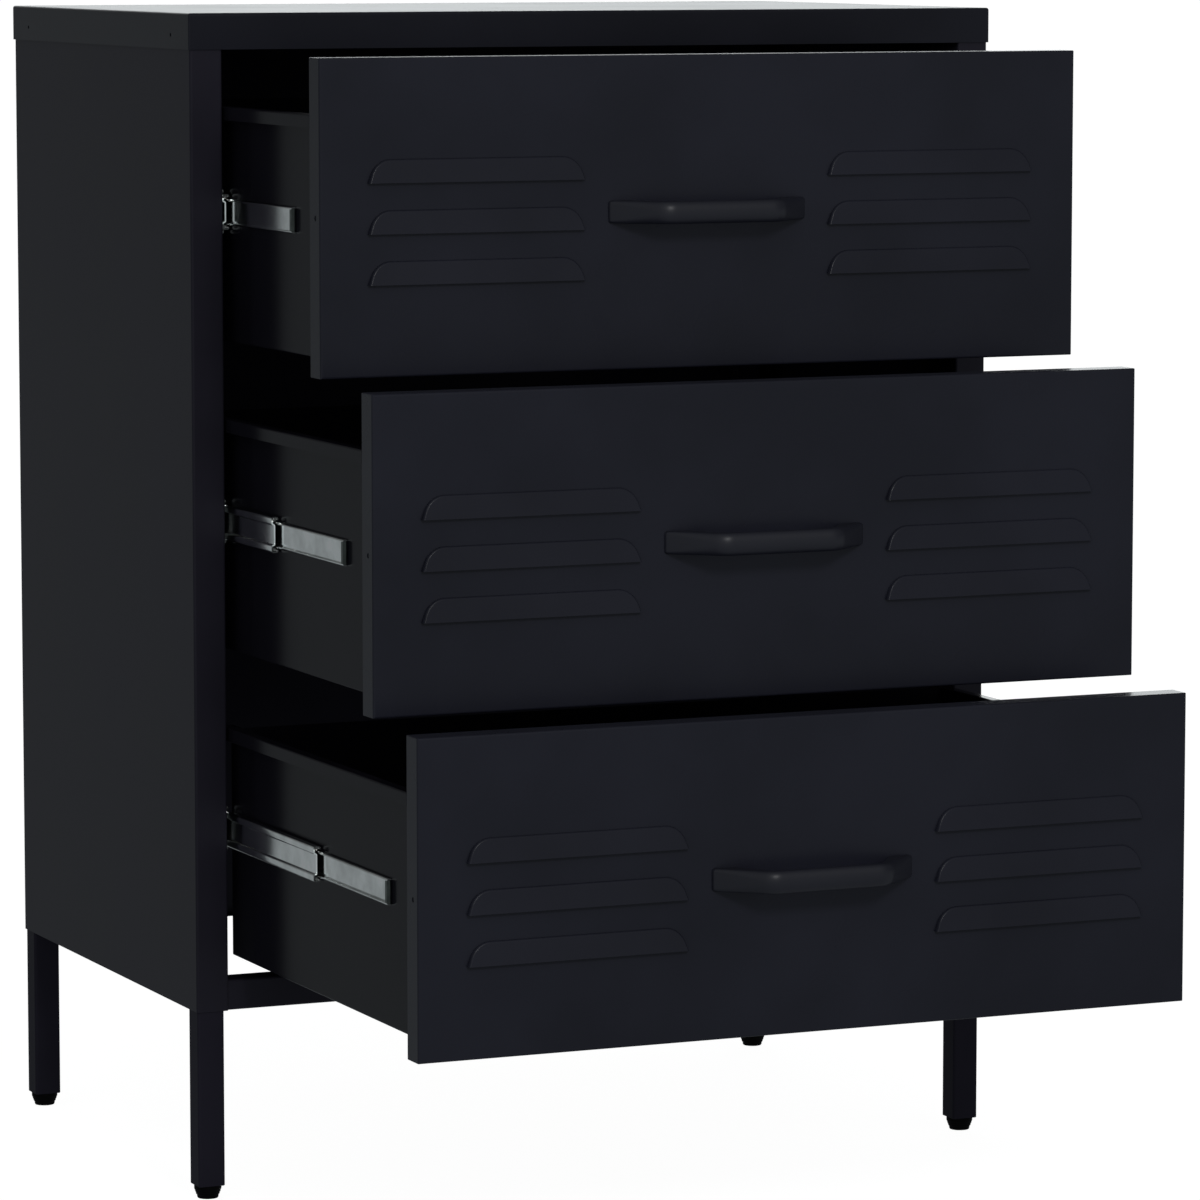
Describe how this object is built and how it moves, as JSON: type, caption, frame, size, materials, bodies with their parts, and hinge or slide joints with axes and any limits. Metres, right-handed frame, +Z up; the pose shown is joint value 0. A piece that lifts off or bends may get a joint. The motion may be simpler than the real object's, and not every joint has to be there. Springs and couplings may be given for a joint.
{
  "type": "metal drawer cabinet",
  "caption": "Free-standing sheet metal cabinet with deep louvred drawers on telescopic ball-bearing slides, a folded top cap and short square legs.",
  "frame": {"origin": "on the floor at the middle of the object's footprint in the rest pose, in which the drawers stand partly open", "axes": "+Z up, +X to the right as seen from the front, -Y towards the front, the way the drawers open"},
  "size_m": [0.8, 0.9928, 1.076],
  "materials": {
    "cabinet_paint": "satin",
    "leg_paint": "satin",
    "drawer_paint": "satin",
    "handle_paint": "satin",
    "foot_plastic": "matte",
    "rail_zinc": "satin",
    "retainer_steel": "satin",
    "screw_zinc": "satin"
  },
  "bodies": {
    "cabinet": {"top_cap": "cabinet_paint", "left_side_panel": "cabinet_paint", "right_side_panel": "cabinet_paint", "back_panel": "cabinet_paint", "bottom_rail": "cabinet_paint", "feet": "foot_plastic", "front_left_leg": "leg_paint", "front_right_leg": "leg_paint", "rear_left_leg": "leg_paint", "rear_right_leg": "leg_paint", "top_left_cabinet_rail": "rail_zinc", "top_right_cabinet_rail": "rail_zinc", "middle_left_cabinet_rail": "rail_zinc", "middle_right_cabinet_rail": "rail_zinc", "bottom_left_cabinet_rail": "rail_zinc", "bottom_right_cabinet_rail": "rail_zinc"},
    "top_carriage": {"top_left_middle_rail": "rail_zinc", "top_right_middle_rail": "rail_zinc"},
    "top_drawer": {"top_drawer_front": "drawer_paint", "top_drawer_handle": "handle_paint", "top_handle_screws": "screw_zinc", "top_drawer_tray": "drawer_paint", "top_drawer_inner_front": "drawer_paint", "top_drawer_back": "drawer_paint", "top_left_drawer_rail": "rail_zinc", "top_right_drawer_rail": "rail_zinc"},
    "top_outer_retainers": {"top_outer_ball_retainers": "retainer_steel"},
    "top_inner_retainers": {"top_inner_ball_retainers": "retainer_steel"},
    "middle_carriage": {"middle_left_middle_rail": "rail_zinc", "middle_right_middle_rail": "rail_zinc"},
    "middle_drawer": {"middle_drawer_front": "drawer_paint", "middle_drawer_handle": "handle_paint", "middle_handle_screws": "screw_zinc", "middle_drawer_tray": "drawer_paint", "middle_drawer_inner_front": "drawer_paint", "middle_drawer_back": "drawer_paint", "middle_left_drawer_rail": "rail_zinc", "middle_right_drawer_rail": "rail_zinc"},
    "middle_outer_retainers": {"middle_outer_ball_retainers": "retainer_steel"},
    "middle_inner_retainers": {"middle_inner_ball_retainers": "retainer_steel"},
    "bottom_carriage": {"bottom_left_middle_rail": "rail_zinc", "bottom_right_middle_rail": "rail_zinc"},
    "bottom_drawer": {"bottom_drawer_front": "drawer_paint", "bottom_drawer_handle": "handle_paint", "bottom_handle_screws": "screw_zinc", "bottom_drawer_tray": "drawer_paint", "bottom_drawer_inner_front": "drawer_paint", "bottom_drawer_back": "drawer_paint", "bottom_left_drawer_rail": "rail_zinc", "bottom_right_drawer_rail": "rail_zinc"},
    "bottom_outer_retainers": {"bottom_outer_ball_retainers": "retainer_steel"},
    "bottom_inner_retainers": {"bottom_inner_ball_retainers": "retainer_steel"}
  },
  "joints": [
    {"name": "top_carriage_slide", "type": "slide", "parent": "cabinet", "child": "top_carriage", "axis": [0, -1, 0], "range_m": [-0.0108, 0.2194]},
    {"name": "top_drawer_slide", "type": "slide", "parent": "top_carriage", "child": "top_drawer", "axis": [0, -1, 0], "range_m": [-0.224, 0]},
    {"name": "top_outer_retainer_slide", "type": "slide", "parent": "cabinet", "child": "top_outer_retainers", "axis": [0, -1, 0], "range_m": [-0.00545, 0.10975]},
    {"name": "top_inner_retainer_slide", "type": "slide", "parent": "top_carriage", "child": "top_inner_retainers", "axis": [0, -1, 0], "range_m": [-0.11205, 0.00005]},
    {"name": "middle_carriage_slide", "type": "slide", "parent": "cabinet", "child": "middle_carriage", "axis": [0, -1, 0], "range_m": [-0.131, 0.0992]},
    {"name": "middle_drawer_slide", "type": "slide", "parent": "middle_carriage", "child": "middle_drawer", "axis": [0, -1, 0], "range_m": [-0.224, 0]},
    {"name": "middle_outer_retainer_slide", "type": "slide", "parent": "cabinet", "child": "middle_outer_retainers", "axis": [0, -1, 0], "range_m": [-0.06555, 0.04965]},
    {"name": "middle_inner_retainer_slide", "type": "slide", "parent": "middle_carriage", "child": "middle_inner_retainers", "axis": [0, -1, 0], "range_m": [-0.11205, 0.00005]},
    {"name": "bottom_carriage_slide", "type": "slide", "parent": "cabinet", "child": "bottom_carriage", "axis": [0, -1, 0], "range_m": [-0.2302, 0]},
    {"name": "bottom_drawer_slide", "type": "slide", "parent": "bottom_carriage", "child": "bottom_drawer", "axis": [0, -1, 0], "range_m": [-0.224, 0]},
    {"name": "bottom_outer_retainer_slide", "type": "slide", "parent": "cabinet", "child": "bottom_outer_retainers", "axis": [0, -1, 0], "range_m": [-0.11515, 0.00005]},
    {"name": "bottom_inner_retainer_slide", "type": "slide", "parent": "bottom_carriage", "child": "bottom_inner_retainers", "axis": [0, -1, 0], "range_m": [-0.11205, 0.00005]}
  ],
  "couplings": [
    {"joint": "top_outer_retainer_slide", "follows": "top_carriage_slide", "ratio": 0.5},
    {"joint": "top_inner_retainer_slide", "follows": "top_drawer_slide", "ratio": 0.5},
    {"joint": "middle_outer_retainer_slide", "follows": "middle_carriage_slide", "ratio": 0.5},
    {"joint": "middle_inner_retainer_slide", "follows": "middle_drawer_slide", "ratio": 0.5},
    {"joint": "bottom_outer_retainer_slide", "follows": "bottom_carriage_slide", "ratio": 0.5},
    {"joint": "bottom_inner_retainer_slide", "follows": "bottom_drawer_slide", "ratio": 0.5}
  ]
}
